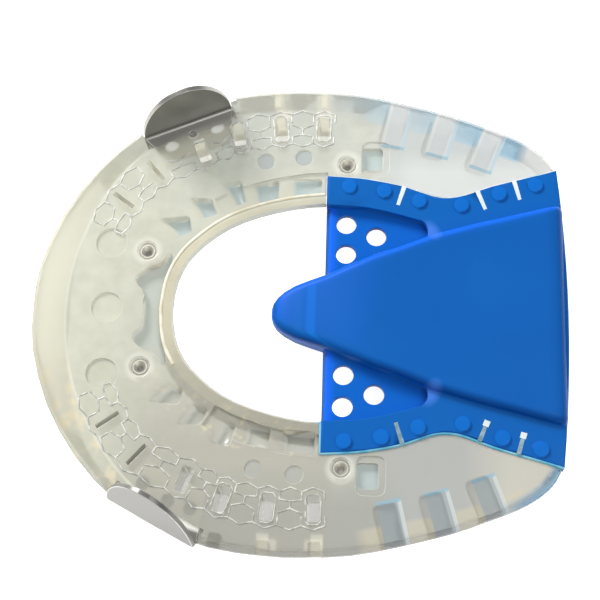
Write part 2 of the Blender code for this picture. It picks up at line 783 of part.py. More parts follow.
def web_front_chamfer(group):
    """A bar that takes the upper front corner off both webs."""
    width = height_on(opening_edge()[2:], PLATE_FRONT)
    x, z = PLATE_FRONT, WEB_FLOOR
    corners = [
        (x - OVERRUN, z - WEB_FRONT_CHAMFER - OVERRUN),
        (x + WEB_FRONT_CHAMFER + OVERRUN, z + OVERRUN),
        (x - OVERRUN, z + OVERRUN),
    ]
    loops = [[(px, y, pz) for px, pz in corners] for y in (-width, width)]
    return loft("web_front_chamfer", loops, group)


def make_plate():
    shares = [1 - (step + 1) / REAR_STEPS for step in range(REAR_STEPS)]
    heights = [flange_edge()[-1].y * share for share in shares]
    outline = plate_loop([Vector((rear_edge(y), y)) for y in heights])
    shoulder = inset_line(outline, [PLATE_EDGE_SOFTENING] * len(outline), closed=True)
    loops = [[(x, y, z) for x, y in outline] for z in (PLATE_BOTTOM, PLATE_TOP - PLATE_EDGE_SOFTENING)]
    loops.append([(x, y, PLATE_TOP) for x, y in shoulder])
    plate = loft("frog_plate", loops, PARTS)
    pockets = cutter_group("frog_plate_web_pockets")
    for label, side in SIDES.items():
        prism(f"web_pocket_{label}", web_pocket(side), WEB_FLOOR, PLATE_TOP + OVERRUN, pockets)
    web_front_chamfer(pockets)
    added = cutter_group("frog_plate_additions")
    wedge(added)
    keel(added)
    add_studs(added)
    holes = cutter_group("frog_plate_holes")
    cut_plate_holes(holes)
    combine(plate, "DIFFERENCE", pockets, "web_pockets")
    combine(plate, "UNION", added, "wedge_keel_and_studs")
    combine(plate, "DIFFERENCE", holes, "holes_and_slits")
    finish(plate, (0.008, 0.134, 0.479), 0.38)
    return plate


# Steel side clips


def clip_point(along_fold, outward, height, side):
    """A point given by its place along a clip's fold line, outwards from it, and its height."""
    edge, along, inward = at_share(outer_edge(), CLIP_STATION_SHARES[side])
    place = edge + along * along_fold + inward * (CLIP_FOLD_INSETS[side] - outward)
    return (place.x, side * place.y, height)


def clip_rows(side):
    """Half width, outward place and height of the sheet's hoof-side face, base end to tab top."""
    base_top = HOOF_PLANE - CLIP_COVER
    length = CLIP_END_INSET - CLIP_FOLD_INSETS[side]
    for step in range(CLIP_BASE_STEPS + 1):
        share = step / CLIP_BASE_STEPS
        start = CLIP_BASE_END_WIDTH / 2
        half_width = start + share * (CLIP_WIDTH / 2 - start)
        outward = -length + share * (length - CLIP_BEND_RADIUS)
        yield half_width, outward, base_top
    for degrees in (30, 60, 90):
        angle = math.radians(degrees)
        outward = CLIP_BEND_RADIUS * (math.sin(angle) - 1)
        yield CLIP_WIDTH / 2, outward, base_top + CLIP_BEND_RADIUS * (1 - math.cos(angle))
    for step in range(CLIP_TAB_STEPS + 1):
        rise = math.sin(math.pi / 2 * step / CLIP_TAB_STEPS)
        half_width = CLIP_WIDTH / 2 * (1 - rise ** (1 / 0.6)) ** (1 / 2.2)
        half_width = max(half_width, CLIP_SHEET)
        yield half_width, -CLIP_LEAN * rise, HOOF_PLANE + CLIP_HEIGHT * rise


def clip_sheet(name, side, group):
    shape = bmesh.new()
    rows = []
    for half_width, outward, height in clip_rows(side):
        shares = [2 * column / CLIP_COLUMNS - 1 for column in range(CLIP_COLUMNS + 1)]
        points = [clip_point(share * half_width, outward, height, side) for share in shares]
        rows.append([shape.verts.new(point) for point in points])
    for low, high in zip(rows, rows[1:]):
        for a, b, c, d in zip(low, low[1:], high[1:], high):
            shape.faces.new((a, b, c, d))
    mesh = bpy.data.meshes.new(name)
    shape.to_mesh(mesh)
    shape.free()
    made = bpy.data.objects.new(name, mesh)
    group.objects.link(made)
    thick = made.modifiers.new("sheet", "SOLIDIFY")
    thick.thickness = CLIP_SHEET
    thick.offset = -side
    thick.use_even_offset = True
    return made


def anchor_outlines(side, shrink):
    """The two oval anchor holes and the pin hole of a clip's base plate, drawn in by a margin."""
    edge, along, inward = at_share(outer_edge(), CLIP_STATION_SHARES[side])
    anchor = oval(CLIP_ANCHOR_LONG - 2 * shrink, CLIP_ANCHOR_SHORT - 2 * shrink)
    for sign in (-1, 1):
        centre = edge + along * sign * CLIP_ANCHOR_SPACING / 2 + inward * CLIP_ANCHOR_INSET
        yield flipped(turned_to(anchor, centre, along), side)
    pin = oval(2 * (CLIP_PIN_RADIUS - shrink), 2 * (CLIP_PIN_RADIUS - shrink))
    yield flipped(turned_to(pin, edge + inward * CLIP_PIN_INSET, along), side)


def make_clip(label, side):
    name = f"clip_{label}"
    clip = clip_sheet(name, side, PARTS)
    holes = cutter_group(f"{name}_holes")
    low = HOOF_PLANE - CLIP_COVER - CLIP_SHEET - OVERRUN
    high = HOOF_PLANE - CLIP_COVER + OVERRUN / 2
    for index, outline in enumerate(anchor_outlines(side, 0)):
        prism(f"{name}_anchor_{index}", outline, low, high, holes)
    notch = flipped(nail_outline(CLIP_SLOT_INDEX, CLEARANCE), side)
    prism(f"{name}_nail_notch", notch, low, high, holes)
    combine(clip, "DIFFERENCE", holes, "anchor_holes")
    finish(clip, (0.5, 0.5, 0.48), 0.35, metallic=1)
    return clip


def cut_clip_seats(group):
    """Seats for both clips: a slot with moulded posts, a window at the fold and a flat outside."""
    half = CLIP_WIDTH / 2 + CLEARANCE
    end = CLIP_BASE_END_WIDTH / 2 + CLEARANCE
    floor = HOOF_PLANE - CLIP_COVER - CLIP_SHEET - CLEARANCE
    ceiling = HOOF_PLANE - CLIP_COVER + CLEARANCE
    for label, side in SIDES.items():
        deep = CLIP_FOLD_INSETS[side] - CLIP_END_INSET - CLEARANCE
        out = CLIP_FOLD_INSETS[side] + OVERRUN

        def plan(corners):
            return [clip_point(along, outward, 0, side)[:2] for along, outward in corners]

        inner = ((half, -CLEARANCE), (end, deep), (-end, deep), (-half, -CLEARANCE))
        slot = plan(((-half, out), (half, out), *inner))
        seat = prism(f"clip_slot_{label}", slot, floor, ceiling, group)
        posts = cutter_group(f"clip_posts_{label}")
        for index, outline in enumerate(anchor_outlines(side, CLEARANCE)):
            prism(f"clip_post_{label}_{index}", outline, floor - OVERRUN, ceiling + OVERRUN, posts)
        combine(seat, "DIFFERENCE", posts, "posts")
        window = plan(((-half, out), (half, out), (half, -CLIP_WINDOW), (-half, -CLIP_WINDOW)))
        prism(f"clip_window_{label}", window, ceiling - CLEARANCE, HOOF_PLANE + OVERRUN, group)
        wide = half + OVERRUN
        flat = plan(((-wide, out), (wide, out), (wide, CLIP_FLAT), (-wide, CLIP_FLAT)))
        prism(f"clip_flat_{label}", flat, -OVERRUN, HOOF_PLANE + OVERRUN, group)


# Tubular inserts


def insert_places():
    """Names and centres of the inserts: two beside the toe pocket, two beside the plate."""
    toe = (TOE_INSERT_SHARES[0] * HALF_LENGTH, TOE_INSERT_SHARES[1] * HALF_WIDTH)
    x = QUARTER_INSERT_SHARE * HALF_LENGTH
    quarter = (x, height_on(flange_edge(), x) + INSERT_PLATE_GAP)
    for place, centre in (("toe", toe), ("quarter", quarter)):
        for label, side in SIDES.items():
            yield f"insert_{place}_{label}", (centre[0], side * centre[1])


def make_insert(name, centre):
    """A flanged tube turned about its own axis."""
    top = HOOF_PLANE - INSERT_DISH
    under = top - INSERT_FLANGE_HEIGHT
    cone_low = top - INSERT_CONE_DEPTH
    edge = INSERT_FLANGE_HEIGHT / 4
    profile = (
        (INSERT_MOUTH_RADIUS, top),
        (INSERT_FLANGE_RADIUS - edge, top),
        (INSERT_FLANGE_RADIUS, top - edge),
        (INSERT_FLANGE_RADIUS, under),
        (INSERT_TUBE_RADIUS, under),
        (INSERT_TUBE_RADIUS, INSERT_FOOT),
        (INSERT_BORE_RADIUS, INSERT_FOOT),
        (INSERT_BORE_RADIUS, cone_low),
    )
    shape = bmesh.new()
    corners = [shape.verts.new((radius, 0, height)) for radius, height in profile]
    for a, b in zip(corners, [*corners[1:], corners[0]]):
        shape.edges.new((a, b))
    mesh = bpy.data.meshes.new(name)
    shape.to_mesh(mesh)
    shape.free()
    made = bpy.data.objects.new(name, mesh)
    PARTS.objects.link(made)
    made.location = (*centre, 0)
    turn = made.modifiers.new("turned", "SCREW")
    turn.angle = 2 * math.pi
    turn.steps = turn.render_steps = ROUND_SIDES
    turn.use_merge_vertices = True
    turn.merge_threshold = MM / 100
    finish(made, (0.56, 0.55, 0.52), 0.25, metallic=1)
    return made


def cut_insert_bores(group):
    flange_floor = HOOF_PLANE - INSERT_DISH - INSERT_FLANGE_HEIGHT - CLEARANCE
    for name, centre in insert_places():
        bore = INSERT_TUBE_RADIUS + CLEARANCE
        cylinder(f"{name}_bore", bore, centre, -OVERRUN, HOOF_PLANE + OVERRUN, group)
        seat = INSERT_FLANGE_RADIUS + CLEARANCE
        cylinder(f"{name}_seat", seat, centre, flange_floor, HOOF_PLANE + OVERRUN, group)
        low, high = HOOF_PLANE - 2 * INSERT_DISH, HOOF_PLANE + 2 * INSERT_DISH
        inner, outer = seat - INSERT_DISH, seat + 3 * INSERT_DISH
        cylinder(f"{name}_dish", inner, centre, low, high, group, outer)


# Whole shoe

for old in list(bpy.data.objects):
    bpy.data.objects.remove(old, do_unlink=True)

PARTS = bpy.data.collections.new("horseshoe")
CUTTERS = bpy.data.collections.new("cutters")
bpy.context.scene.collection.children.link(PARTS)
bpy.context.scene.collection.children.link(CUTTERS)

make_body()
make_plate()
for clip_label, clip_side in SIDES.items():
    make_clip(clip_label, clip_side)
for insert_name, insert_centre in insert_places():
    make_insert(insert_name, insert_centre)

for cutter in CUTTERS.all_objects:
    cutter.hide_render = True
    cutter.display_type = "WIRE"
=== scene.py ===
"""Looks of the moulded urethane horseshoe: finishes, moulded relief, floor, lights and camera,
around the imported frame."""

import math

import bmesh
import bpy
from mathutils import Matrix, Vector


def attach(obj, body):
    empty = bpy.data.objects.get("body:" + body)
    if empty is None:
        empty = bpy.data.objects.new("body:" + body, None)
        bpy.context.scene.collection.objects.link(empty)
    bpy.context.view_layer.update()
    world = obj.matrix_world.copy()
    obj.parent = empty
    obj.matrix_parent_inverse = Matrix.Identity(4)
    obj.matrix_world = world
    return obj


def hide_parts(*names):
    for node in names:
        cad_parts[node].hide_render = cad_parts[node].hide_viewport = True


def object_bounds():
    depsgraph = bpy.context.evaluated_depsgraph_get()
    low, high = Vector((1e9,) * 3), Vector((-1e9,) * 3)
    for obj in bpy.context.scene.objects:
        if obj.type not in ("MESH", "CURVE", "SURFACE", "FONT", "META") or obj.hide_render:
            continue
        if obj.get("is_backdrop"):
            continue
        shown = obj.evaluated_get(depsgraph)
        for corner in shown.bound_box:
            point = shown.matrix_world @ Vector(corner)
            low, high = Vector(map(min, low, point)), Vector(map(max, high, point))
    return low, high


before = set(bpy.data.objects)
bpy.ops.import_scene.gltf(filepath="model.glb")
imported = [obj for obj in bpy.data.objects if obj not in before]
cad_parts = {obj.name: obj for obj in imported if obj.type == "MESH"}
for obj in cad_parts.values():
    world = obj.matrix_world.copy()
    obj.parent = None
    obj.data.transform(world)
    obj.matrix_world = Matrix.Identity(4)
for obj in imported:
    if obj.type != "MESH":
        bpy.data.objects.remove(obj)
cad_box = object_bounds()

MM = 0.001
HOOF_PLANE = 12 * MM
PLATE_TOP = 12.8 * MM
SIDES = {"right": 1, "left": -1}
CLIP_NODES = tuple(f"clip_{label}" for label in SIDES)
INSERT_NODES = tuple(f"insert_{place}_{label}" for place in ("toe", "quarter") for label in SIDES)

# Skins: the turn in degrees from which an edge stays crisp, the turn under which facets merge, and
# the distance under which points do
FACET_ANGLE = 40
FLAT_ANGLE = 0.4
MERGE_DISTANCE = MM / 1000

# Nail line of the right branch from heel to toe, in mm: one place beyond the slots, the six slots
# and one place beyond them. The last two slots are narrow slits, and the first three have rims
NAIL_LINE = (
    (18.3, 55.9),
    (5.8, 56.6),
    (-6.7, 56.3),
    (-19.1, 54.0),
    (-29.6, 49.0),
    (-43.0, 42.5),
    (-51.6, 32.8),
    (-57.5, 21.5),
)
LINE_STEPS = 4
RIMMED_SLOTS = 3

# Moulded honeycomb ribs round the slots: distances outwards from the nail line, the steps of the
# line at its ends, and the steps where the upper clip covers its outer comb
OUTER_COMB = {"peak": 5.6 * MM, "corner": 4.4 * MM, "foot": 1.9 * MM}
INNER_COMB = {"peak": -6 * MM, "corner": -4.8 * MM, "foot": -2.6 * MM}
STEM_ENDS = (-2.2 * MM, -0.2 * MM)
FORK_TIP = 1.1 * MM
COMB_FIRST_STEP = 3
COMB_LAST_STEP = 27
CLIP_STEPS = {1: (12, 21), -1: ()}
RIB_RADIUS = 0.22 * MM
RIM_RADIUS = 0.2 * MM
RIB_RESOLUTION = 2
SLOT_LENGTH = 8.2 * MM
SLOT_WIDTH = 4.2 * MM
SLOT_CORNER = 0.9 * MM

# Edge of the opening from the toe to the plate, in mm, and the bead on it, which ends early on the
# lower side
OPENING_EDGE = (
    (-35.4, 0),
    (-34.4, 8.0),
    (-31.5, 14.6),
    (-26.7, 19.9),
    (-20.2, 24.8),
    (-12.0, 28.4),
    (-2.0, 31.0),
    (7.0, 32.1),
)
BEAD_INSET = 3.5 * MM
BEAD_RADIUS = 0.6 * MM
BEAD_LOWER_END = 17 * MM
BEAD_DROP = 0.3 * MM

# The plate's outer edge from front to rear and its front inner corner, in mm, the line of clear
# urethane along them, and the slits of the flange by their places from the middle
PLATE_EDGE = (
    (7.2, 41.2),
    (16.4, 40.6),
    (23.0, 39.6),
    (29.9, 38.0),
    (37.8, 35.2),
    (42.5, 34.8),
    (47.0, 35.7),
    (54.5, 38.5),
    (62.3, 40.7),
    (68.5, 42.4),
    (73.2, 43.8),
)
PLATE_CORNER = (7.2, 32.2)
SEAM_RADIUS = {"right": 0.3 * MM, "left": 0.5 * MM}
SLIT_STATIONS = (29.5 * MM, 50.4 * MM, 60.9 * MM)
SLIT_LENGTH = 6.2 * MM
SLIT_MOUTH = 1.3 * MM
SLIT_END = 1 * MM
SLIT_DEPTH = 3 * MM
SLIT_CROWN = 0.05 * MM
SLIT_HOLE = 1.7 * MM

# Places in plan that the finishes are measured from: the measure across the shoe, which is y, or
# far from its middle line where both sides are alike, then centres in mm, a turn in degrees and two
# sizes in mm. With sizes of 1 the distance is in mm, and otherwise it is a share of them. The toe's
# circle is its outer edge, and the bevel's is where the bevel under the toe begins. The anchors and
# the pin are the upper clip's, the holes and the notch the lower clip's, and the dish is a soft
# hollow where the webs of the plate end
ROUND = (1, 1)
OPENING_SIZES = (42.4, 32.1)
PLACES = {
    "bevel": ("y", ((4.1, 0),), 0, ROUND),
    "toe_circle": ("y", ((-7.9, 0),), 0, ROUND),
    "opening": ("y", ((7, 0),), 0, OPENING_SIZES),
    "outline": ("y", ((0, 0),), 0, (75.5, 69)),
    "heel_corner": ("far", ((53.6, 35.3),), 0, ROUND),
    "inserts": ("far", ((-43.8, 17.3), (12.95, 45.2)), 0, ROUND),
    "lower_holes": ("y", ((-40.7, -50.5), (-33.6, -55.2), (-27.4, -57.1)), 0, ROUND),
    "anchors": ("y", ((-38.7, 50.2), (-25.6, 56.3)), 25, (2.2, 1.5)),
    "upper_pin": ("y", ((-32.8, 54.5),), 0, ROUND),
    "dish": ("far", ((37.3, 24),), 30, (2.2, 3.4)),
    "notch": ("y", ((-28.5, -58.5),), 0, ROUND),
}
BODY_PLACES = ("bevel", "toe_circle", "opening", "outline", "heel_corner", "inserts")
CLIP_PLACES = ("lower_holes", "anchors", "upper_pin")

# Places along the branches, in mm from the middle: bars of painted light at the outer edge of the
# upper one, panes of painted light at that of the lower one, and the reliefs of both
STATIONS = {"bars": (-8.2, 5.7), "panes": (-7.6, 7.0), "reliefs": (-6.7, 5.8)}

# Traction grooves as they show in the hoof face of the heels: middle in mm and turn in degrees,
# half their width and length in mm, and how far the lower ones are shifted
GROOVES = (((27.3, 58.5), -12.5), ((40.5, 55.6), -16), ((53.6, 51.3), -21))
GROOVE_HALVES = (3.2, 6.2)
GROOVE_SHIFT = 1.5

# Shares of the finishes. A share is a number, the name of another share, a list of which the largest
# counts, or a row: a measure, its value where the share is 0, its value where the share is 1, and
# the shares at these two if they are others. Shares in round brackets are multiplied.
# The measures are x, y and z in mm; far, the distance from the middle line in mm; the distances from
# the places and stations above; inset, how far into the shoe from the edge of the opening, in mm;
# facing, which is 1 where the surface faces up; inside, which is 1 where it is seen from within;
# flatness, which is less on edges; lit, which is more where the light enters; and the patterns.
# A groove is measured in shares of its half sizes: across and inward from its middle, wide to
# either side, and reach, the larger of wide and inward
GROOVE_SHARES = {
    "roofs": (("reach", 1.05, 0.95),),
    "ends": (("inward", 0.895, 0.93), ("inward", 1.105, 1.07), ("wide", 1.1, 1)),
    "rears": (("across", 0.705, 0.77), ("across", 1.095, 1.03), ("inward", 1.05, 0.95)),
    "fronts": (("across", -1.18, -1.12), ("across", -0.82, -0.88), ("inward", 1.05, 0.95)),
    "lands": (("wide", 1, 1.15), ("wide", 3.4, 2.4), ("inward", 0.1, -0.1)),
}
BODY_SHARES = {
    "upper": (("y", 14, 30),),
    "lower": (("y", -14, -40),),
    "shaded": (("y", -8, -18),),
    "not_upper": (("y", 14, 30, 1, 0),),
    "toe": (("x", -20, -34),),
    "branch": (("x", -52, -38),),
    "heel": (("x", 20, 32),),
    "rim_of_shoe": (("far", 62.8, 63.8),),
    "opening_rim": (("inset", 3.9, 3.2), ("x", 8, 6)),
    "row": (("inset", -2.5, 0), ("inset", 12.5, 10), ("x", 4, -4)),
    "upward": (("facing", 0.55, 0.7),),
    "bevelled": ("toe", ("bevel", 69.7, 70.3)),
    "floors": ("upward", ("z", 10.2, 9.2)),
    "walls": (
        ("facing", 0.7, 0.5),
        ("outline", 0.96, 0.92),
        [("z", 9, 9.4), ("inset", 4, 5)],
        ("x", 24, 22),
    ),
    "dimples": ("upward", ("z", 11.35, 11.4), ("z", 11.65, 11.6), ("x", -19.2, -18), ("x", 7.2, 6)),
    "relief_walls": ("rim_of_shoe", ("reliefs", 2.53, 2.3), ("z", 9, 8.4)),
    # Where the body gets a painted glow, seen from inside, over the seats of the clips
    "lower_seat": ("lower", 0.7),
    "upper_seat": ("upper", ("toe_circle", 60.5, 58), 0.38),
    "seats": (
        "inside",
        "upward",
        ("z", 11.5, 11.4),
        ("z", 10.2, 10.4),
        ("x", -10, -12),
        ["lower_seat", "upper_seat"],
    ),
    "under_face": ("inside", ("z", 0.3, 0.1)),
    # Painted glows in the walls, slots and reliefs
    "wall_glow": ("walls", 0.03),
    "slot_glow": ("walls", ("inset", 12, 14), ("y", -8, -18, 0.09, 0.02)),
    "relief_glow": ("relief_walls", 0.2),
}
PLATE_SHARES = {
    "sides": (("z", 10.6, 11.4), [("z", 13.2, 13.8), ("x", 8, 6)]),
    "webs": (("z", 10.2, 9.9), ("z", 9, 9.4)),
}
CLIP_SHARES = {
    "held": (("z", 11.6, 11.2),),
    "lower": (("y", 0, -20),),
    "lower_base": ("lower", ("toe_circle", 66, 65)),
    # Where the held base gets painted light and a faint painted glow
    "blasted": ("held", [("toe_circle", 62, 54), "lower_base"]),
}

# Tints in the order in which they are laid: a colour, and the shares that it is laid by. Upper and
# lower are the right and left sides of the shoe, as the photograph shows them
BODY_TINTS = {
    # Painted shade: the lower branch darker, most of all along its outer edge
    "shaded_lower_branch": ("#B6B4A8", 0.9, "lower", "branch"),
    "shaded_lower_edge": ("#A8A79E", 0.9, "branch", ("y", -44, -56)),
    "upper_heel": ("#D0D2CF", "heel", "upper"),
    "upper_heel_inside": ("#E6E7E3", 0.9, "heel", "upper", ("far", 50, 43)),
    # Painted blue light from the plate near the outer edge of the upper branch, before the heel
    "blue_lit_edge": ("#B7C6CC", 0.7, "upper", ("outline", 0.88, 0.96), ("x", 4, 16), ("x", 30, 24)),
    # Painted shade: the lower heel darker
    "shaded_lower_heel": ("#B7B6B1", "heel", "lower"),
    "lower_heel_tip": ("#D0CABC", "heel", "lower", ("x", 46, 58)),
    # Painted light, creamy, in the thin toe bevel, most towards the toe
    "lit_cream_bevel": ("#ECE9D4", "bevelled", ("x", -56, -71, 0.1, 0.95)),
    # Painted amber glints in the lower part of the toe bevel
    "amber_glints": ("#FAE8BE", 0.6, "bevelled", ("flecks", 0.52, 0.66), ("y", -12, -26)),
    # A painted highlight along the line where the toe bevel begins
    "bevel_highlight": ("#F2F1E2", 0.5, "toe", ("bevel", 69.55, 69.7), ("bevel", 70.45, 70.3)),
    "upper_row": ("#DAD7C3", 0.7, "upper", ("inset", 13, 9), ("x", 7, 3)),
    "opening_rim": ("#F0E8CC", "opening_rim", ("x", 6, -30, 0.25, 0.8), ("y", -8, -18, 1, 0.35)),
    "lower_glints": ("#F0E4BC", 0.7, "lower", "row", ("sparks", 0.56, 0.68)),
    "dull_edge": ("#C2C3BA", 0.6, "upward", ("y", 44, 52), ("x", 16, 6)),
    "upper_corner": ("#FFFFFB", 0.85, "upper", ("heel_corner", 14, 17), ("x", 54, 58)),
    # Painted blue light from the plate on the lands between the upper grooves, strongest towards the heel
    "blue_lit_upper_lands": ("#B6CFDB", "lands", "upper", ("x", 30, 42, 0.45, 0.9)),
    "blue_lit_lands": ("#86B8D6", 0.55, "lands", "upper", ("x", 42, 54)),
    "lower_lands": ("#DCCFAE", 0.5, "lands", "lower"),
    "upper_roofs": ("#DFE1E1", 0.8, "roofs", "upper"),
    # Painted shade on the roofs of the lower grooves
    "shaded_lower_roofs": ("#A3AEB3", 0.7, "roofs", "not_upper"),
    # Painted highlights on the front walls of the upper grooves
    "lit_upper_fronts": ("#F6F4EC", 0.5, "fronts", "upper"),
    # Painted shade on the rear walls of the upper grooves, tinted by blue light from the plate
    "blue_shaded_upper_rears": ("#B4D2DF", 0.6, "rears", "upper"),
    # Painted highlights on the rear walls of the lower grooves
    "lit_lower_rears": ("#E8ECEA", 0.6, "rears", "not_upper"),
    # Painted blue light from the plate at the inner ends of the grooves
    "blue_lit_inner_ends": ("#8ABDD2", 0.65, "ends"),
    # Painted blue light from the plate along the corner of the lower heel
    "blue_lit_lower_corner": ("#4C9CCB", 0.8, "lower", ("heel_corner", 17.6, 20), ("x", 56, 62)),
    # Painted light in bars at the outer edge of the upper branch, and in panes at that of the lower one
    "lit_bars": ("#E6E2CB", 0.45, "upper", "rim_of_shoe", ("bars", 1.05, 0.7)),
    "lit_panes": ("#F4F0DA", 0.4, "lower", "rim_of_shoe", ("panes", 1.95, 1.3)),
    # Painted shade, cool and grey, on the floors of the dimples and pockets, where the thin urethane shows
    # the shade beneath
    "dimples": ("#B2B7B6", "dimples", ("y", 10, -10, 1, 0.45)),
    "floors": ("#BAC8C8", "floors"),
    "toe_floors": ("#C3C7BE", 0.8, "floors", ("x", -36, -39)),
    "rear_floors": ("#BFCCCC", "floors", ("x", -12, 0)),
    "lower_floors": ("#BFBFB5", 0.9, "floors", "shaded", ("x", 12, 8)),
    # Painted light, pale, on the walls of the pockets and slots, less on the lower side
    "walls": ("#EFECDD", "walls", ("y", -8, -18, 0.85, 0.4)),
    # Painted shade on the walls of the lower toe pockets
    "shaded_toe_walls": ("#B0AEA4", 0.7, "walls", "shaded", ("x", -36, -40)),
    # Painted light, pale, on the walls of the nail reliefs at the outer edge
    "relief_walls": ("#F5F1DE", "relief_walls"),
    "insert_haloes": ("#F3F1E6", 0.55, ("inserts", 4.8, 3.2)),
    "clip_holes": ("#8D8D87", 0.7, ("lower_holes", 2.1, 1.6)),
    "clip_anchors": ("#F6F6F0", 0.9, ("anchors", 1.1, 0.8)),
    "pin_ring": ("#F0F0E8", 0.6, ("upper_pin", 2, 1.7)),
    "pin_hole": ("#6E6E69", 0.9, ("upper_pin", 1.3, 1)),
    # Painted highlights along the edges
    "edges": ("#F4F1E2", 0.65, ("flatness", 0.995, 0.9)),
}
PLATE_TINTS = {
    "flange": ("#0D63B6", 0.8, ("z", 12.4, 12.7), ("z", 13.1, 12.9)),
    "studs": ("#0C6ECC", 0.8, ("z", 13.1, 13.3), ("z", 13.65, 13.55)),
    # Painted light in the thin webs, brightest on their fronts
    "webs": ("#0764C8", 0.9, "webs"),
    "lit_web_fronts": ("#1A6CF4", "webs", ("x", 11, 8.6)),
    # Painted highlights along the edges
    "edges": ("#1A70E4", 0.5, ("flatness", 0.995, 0.85)),
    "lit_sides": ("#186CEC", 0.75, "sides", ("lit", 0.02, 0.26)),
    # Painted shade on the flanks turned away from the light
    "shaded_sides": ("#06479A", 0.6, "sides", ("lit", -0.12, -0.6)),
    # A painted highlight in the dish where the webs end
    "dish": ("#5C92F8", 0.5, ("z", 10.6, 11.4), ("dish", 1.3, 0.4)),
}
CLIP_TINTS = {
    "held_base": ("#D4D3CE", 0.75, "held"),
    # Painted shade on the lower clip
    "shaded_lower_clip": ("#74736F", 0.8, "lower"),
    # Painted highlights along the sheared edges
    "edges": ("#E4E4DE", ("flatness", 0.995, 0.9)),
    # Painted light, pale, on the held base
    "pale_lit_base": ("#D6D5CD", "blasted"),
}
# Painted shade in the bore, darker downwards, where it also gets a faint painted glow
BORE = ("z", 9.8, 8.6)
BORE_TINTS = {"bore": ("#9C9B93", BORE)}

# Colours that a pattern runs through, by their places on it, and where thin trim turns from dull
# to bright
BODY_HAZE = ((0.0, "#DADCCE"), (1.0, "#E6E3DC"), (0.3, "#D0D1C6"), (0.72, "#D4D4CE"))
BODY_VEIL = ((0.3, "#F1EFE9"), (0.7, "#FFFDF8"))
PLATE_BLUES = ((0.3, "#0A5AAE"), (0.7, "#0E60B4"))
SHEET_GREYS = ((0.3, "#8C8B86"), (0.7, "#A2A19C"))
BAR_GREYS = ((0.3, "#D4D2C8"), (0.7, "#ECEAE0"))
THIN_STOPS = (0.4, 0.6)

# Haze of the body from toe to heel, and how far its clouds shift it
HAZE_ROWS = (("x", -75.5, 75.5), ("clouds", 0.3, 0.7, -0.05, 0.05))

# Patterns of the body: their sizes in mm, and how many finer layers they have. Patterns of the
# others, in mm: clouds and blasted grain of the plate, rolling lines of the sheet, which are drawn
# out along y, and turning marks. The grain and the lines are drawn coarser than they are, to show
BODY_PATTERNS = {"clouds": (22, 3), "flecks": (5, 2), "sparks": (3, 2)}
PLATE_CLOUDS = 30
PLATE_GRAIN = 0.6
PLATE_GRAIN_DEPTH = 0.03 * MM
ROLLING_LINES = 0.25
ROLLING_DETAIL = 3
ROLLING_STRETCH = (1, 0.06, 1)
ROLLING_DEPTH = 0.02 * MM
BUMP_STRENGTH = 0.4
TURNING_MARKS = 0.3

# Radii of the softened edges, and how many rays find them
BODY_SOFTNESS = 0.35 * MM
PLATE_SOFTNESS = 0.5 * MM
CLIP_SOFTNESS = 0.4 * MM
SOFT_SAMPLES = 6

# Side of the plate that the light enters, and the radius and rays that soften the turn to it
LIT_SIDE = (-0.45, 0.89, 0.0)
LIT_RADIUS = 2.6 * MM
LIT_SAMPLES = 8

# Clearness of the body, which is more where its under face is seen from inside, how metallic the
# clips are, which is less on their held base with painted light, and the painted glow of the finishes
CLEARNESS = ("under_face", 0, 1, 0.42, 0.9)
CLIP_METAL = ("blasted", 0, 1, 1, 0.1)
BODY_GLOWS = ["wall_glow", "slot_glow", "relief_glow", "seats"]
BODY_GLOW_TINT = "#F1F0E6"
STEEL_GLOW_TINT = "#E2E1D9"
CLIP_GLOW = 0.35
BORE_GLOW = 0.12

# Thin trim: names, dull and bright colours, and the size of the bright patches in mm
RIB_FINISHES = {
    "right": ("clear_urethane_ribs", "#CBCCC3", "#FFFFFC", 2),
    "left": ("shaded_urethane_ribs", "#BBBCB3", "#F6F6F0", 2),
}
# The seams' cyan is painted blue light from the plate, stronger on the lower side
SEAM_FINISHES = {
    "right": ("clear_urethane_seam", "#BFE6F2", "#F4FAFA", 5),
    "left": ("blue_lit_seam", "#5FC0E2", "#9ADCEE", 5),
}
# The lower fins are a darker, bluer copy of the upper ones: painted shade and painted blue light from the
# plate
FIN_FINISHES = {
    "right": ("clear_urethane_fins", "#E4F4F4", "#FFFFFF", 3),
    "left": ("shaded_blue_lit_fins", "#7699A8", "#A9C4CE", 3),
}
BEAD_FINISH = ("clear_urethane_bead", "#EFE8CC", "#FDFAE6", 4)

# Floor: its gap under the shoe, its half width in metres, and its shares. It looks white, but has
# painted shade under the shoe and the lower clip's notch, and it is white in reflections and through the shoe
FLOOR_GAP = 0.05 * MM
FLOOR_REACH = 2
FLOOR_TINT = "#F2F2F2"
WHITE = "#FFFFFF"
FLOOR_SHARES = {
    "under_body": (("opening", 1.2, 1.4), ("outline", 0.95, 0.9)),
    "under": (["under_body", ("notch", 5, 4)],),
    "seen": ("camera", ("under", 0, 1, 0.9, 0.42)),
    "white": (["glossy", "passing", "seen"],),
}

# Lights: the strength of the white room, which is more where the camera sees it, and the lamps by
# their places and sizes in metres and their power in watts
ROOM_STRENGTH = ("camera", 0, 1, 0.45, 1)
LAMPS = {
    "window_light": ((-0.5, 0.6, 0.6), 0.4, 8.5),
    "fill_light": ((0.4, -0.1, 0.9), 0.5, 2),
}

# Camera: the place it looks at, its distance from there, the nearest it sees, its turns in
# degrees, and its lens and sensor in mm
TARGET = (0.4 * MM, 3.04 * MM, HOOF_PLANE)
CAMERA_DISTANCE = 420 * MM
CAMERA_NEAR = 10 * MM
CAMERA_TURN = 8.14
CAMERA_TILT = 19.68
CAMERA_ROLL = -6.72
LENS = 89.36
SENSOR = 36


# Nodes and colours


